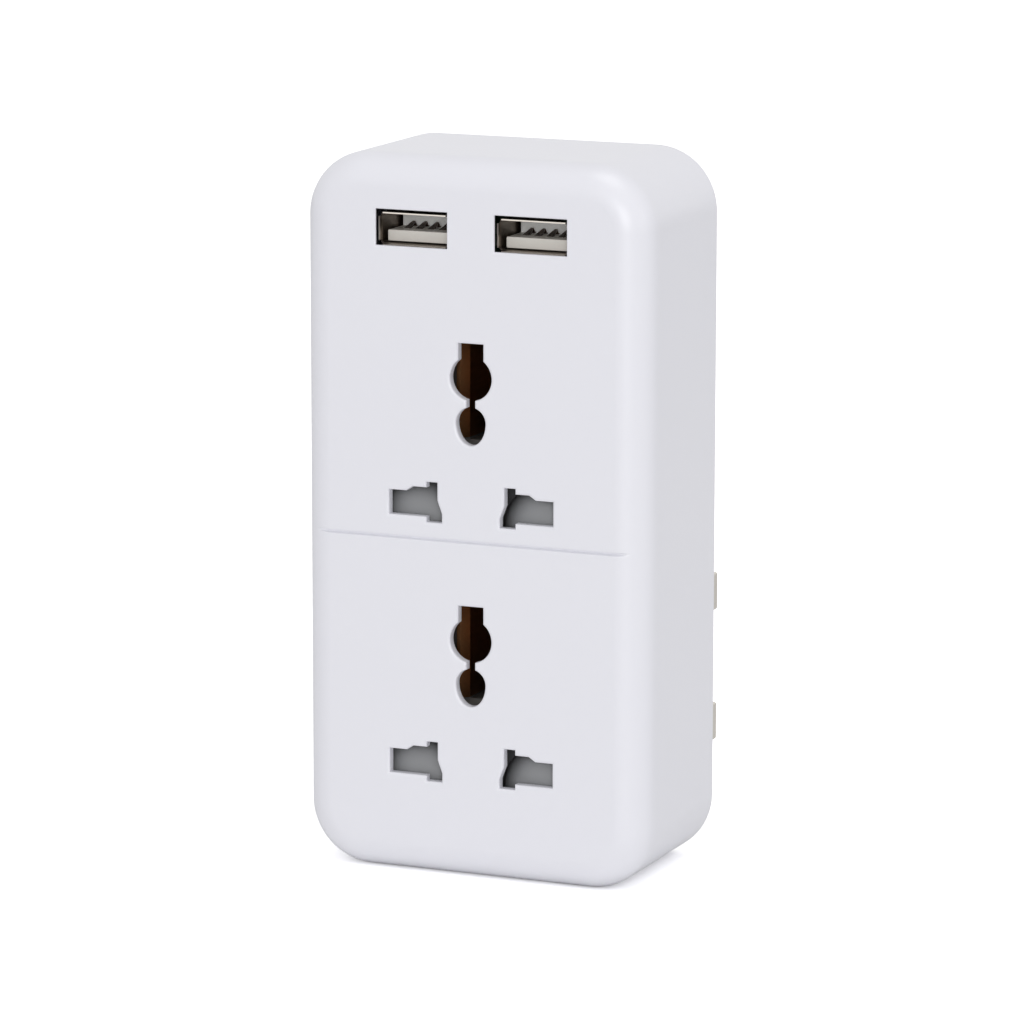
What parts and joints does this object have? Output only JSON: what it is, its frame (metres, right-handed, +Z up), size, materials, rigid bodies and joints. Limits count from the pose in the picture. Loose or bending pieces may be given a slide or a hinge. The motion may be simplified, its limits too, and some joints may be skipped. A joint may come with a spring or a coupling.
{
  "type": "multi socket adapter",
  "caption": "White upright wall adapter with universal outlets one above the other, USB charging ports above them and rectangular plug pins behind.",
  "frame": {"origin": "middle of the flat bottom face that the adapter stands on, half-way between its front and back faces", "axes": "+Z up, +Y from the outlets to the plug pins, +X to the right of someone who faces the outlets"},
  "size_m": [0.06, 0.0539, 0.1176],
  "materials": {
    "housing_plastic": "satin white ABS",
    "shutter_plastic": "grey moulded nylon",
    "carrier_plastic": "dark brown heat resistant moulding",
    "sleeve_plastic": "black pin sleeve",
    "pin_nickel": "nickel plated brass",
    "contact_brass": "stamped brass",
    "spring_steel": "spring wire",
    "screw_steel": "zinc plated",
    "usb_shell_metal": "nickel plated sheet",
    "tongue_plastic": "off-white insulator",
    "usb_contact_metal": "gold flashed contact",
    "board": "green circuit board",
    "ferrite": "sintered ferrite",
    "winding_tape": "yellow insulating tape",
    "capacitor_sleeve": "dark plastic sleeve",
    "chip_body": "moulded package",
    "resistor_body": "lacquered body",
    "live_insulation": "brown insulated wire",
    "neutral_insulation": "blue insulated wire"
  },
  "bodies": {
    "case": {"front_cover": "housing_plastic", "rear_cover": "housing_plastic", "case_screws": "screw_steel", "contact_carrier": "carrier_plastic", "lower_shutter_spring": "spring_steel", "upper_shutter_spring": "spring_steel", "live_contact": "contact_brass", "neutral_contact": "contact_brass", "earth_contact": "contact_brass", "earth_pin": "pin_nickel", "live_pin": "pin_nickel", "neutral_pin": "pin_nickel", "live_pin_sleeve": "sleeve_plastic", "neutral_pin_sleeve": "sleeve_plastic", "usb_shell_left": "usb_shell_metal", "usb_shell_right": "usb_shell_metal", "usb_tongue_left": "tongue_plastic", "usb_tongue_right": "tongue_plastic", "usb_contacts_left": "usb_contact_metal", "usb_contacts_right": "usb_contact_metal", "usb_board": "board", "board_screws": "screw_steel", "transformer_core": "ferrite", "transformer_bobbin": "winding_tape", "input_capacitor": "capacitor_sleeve", "output_capacitor": "capacitor_sleeve", "bridge_rectifier": "chip_body", "charge_controller": "chip_body", "fusible_resistor": "resistor_body", "live_lead": "live_insulation", "neutral_lead": "neutral_insulation"},
    "lower_shutter": {"lower_shutter": "shutter_plastic"},
    "upper_shutter": {"upper_shutter": "shutter_plastic"}
  },
  "joints": [
    {"name": "lower_shutter_slide", "type": "slide", "parent": "case", "child": "lower_shutter", "axis": [0, 0, -1], "range_m": [0, 0.008], "stiffness_N_per_m": 150, "springref_m": -0.004, "deforming": ["lower_shutter_spring"]},
    {"name": "upper_shutter_slide", "type": "slide", "parent": "case", "child": "upper_shutter", "axis": [0, 0, -1], "range_m": [0, 0.008], "stiffness_N_per_m": 150, "springref_m": -0.004, "deforming": ["upper_shutter_spring"]}
  ]
}
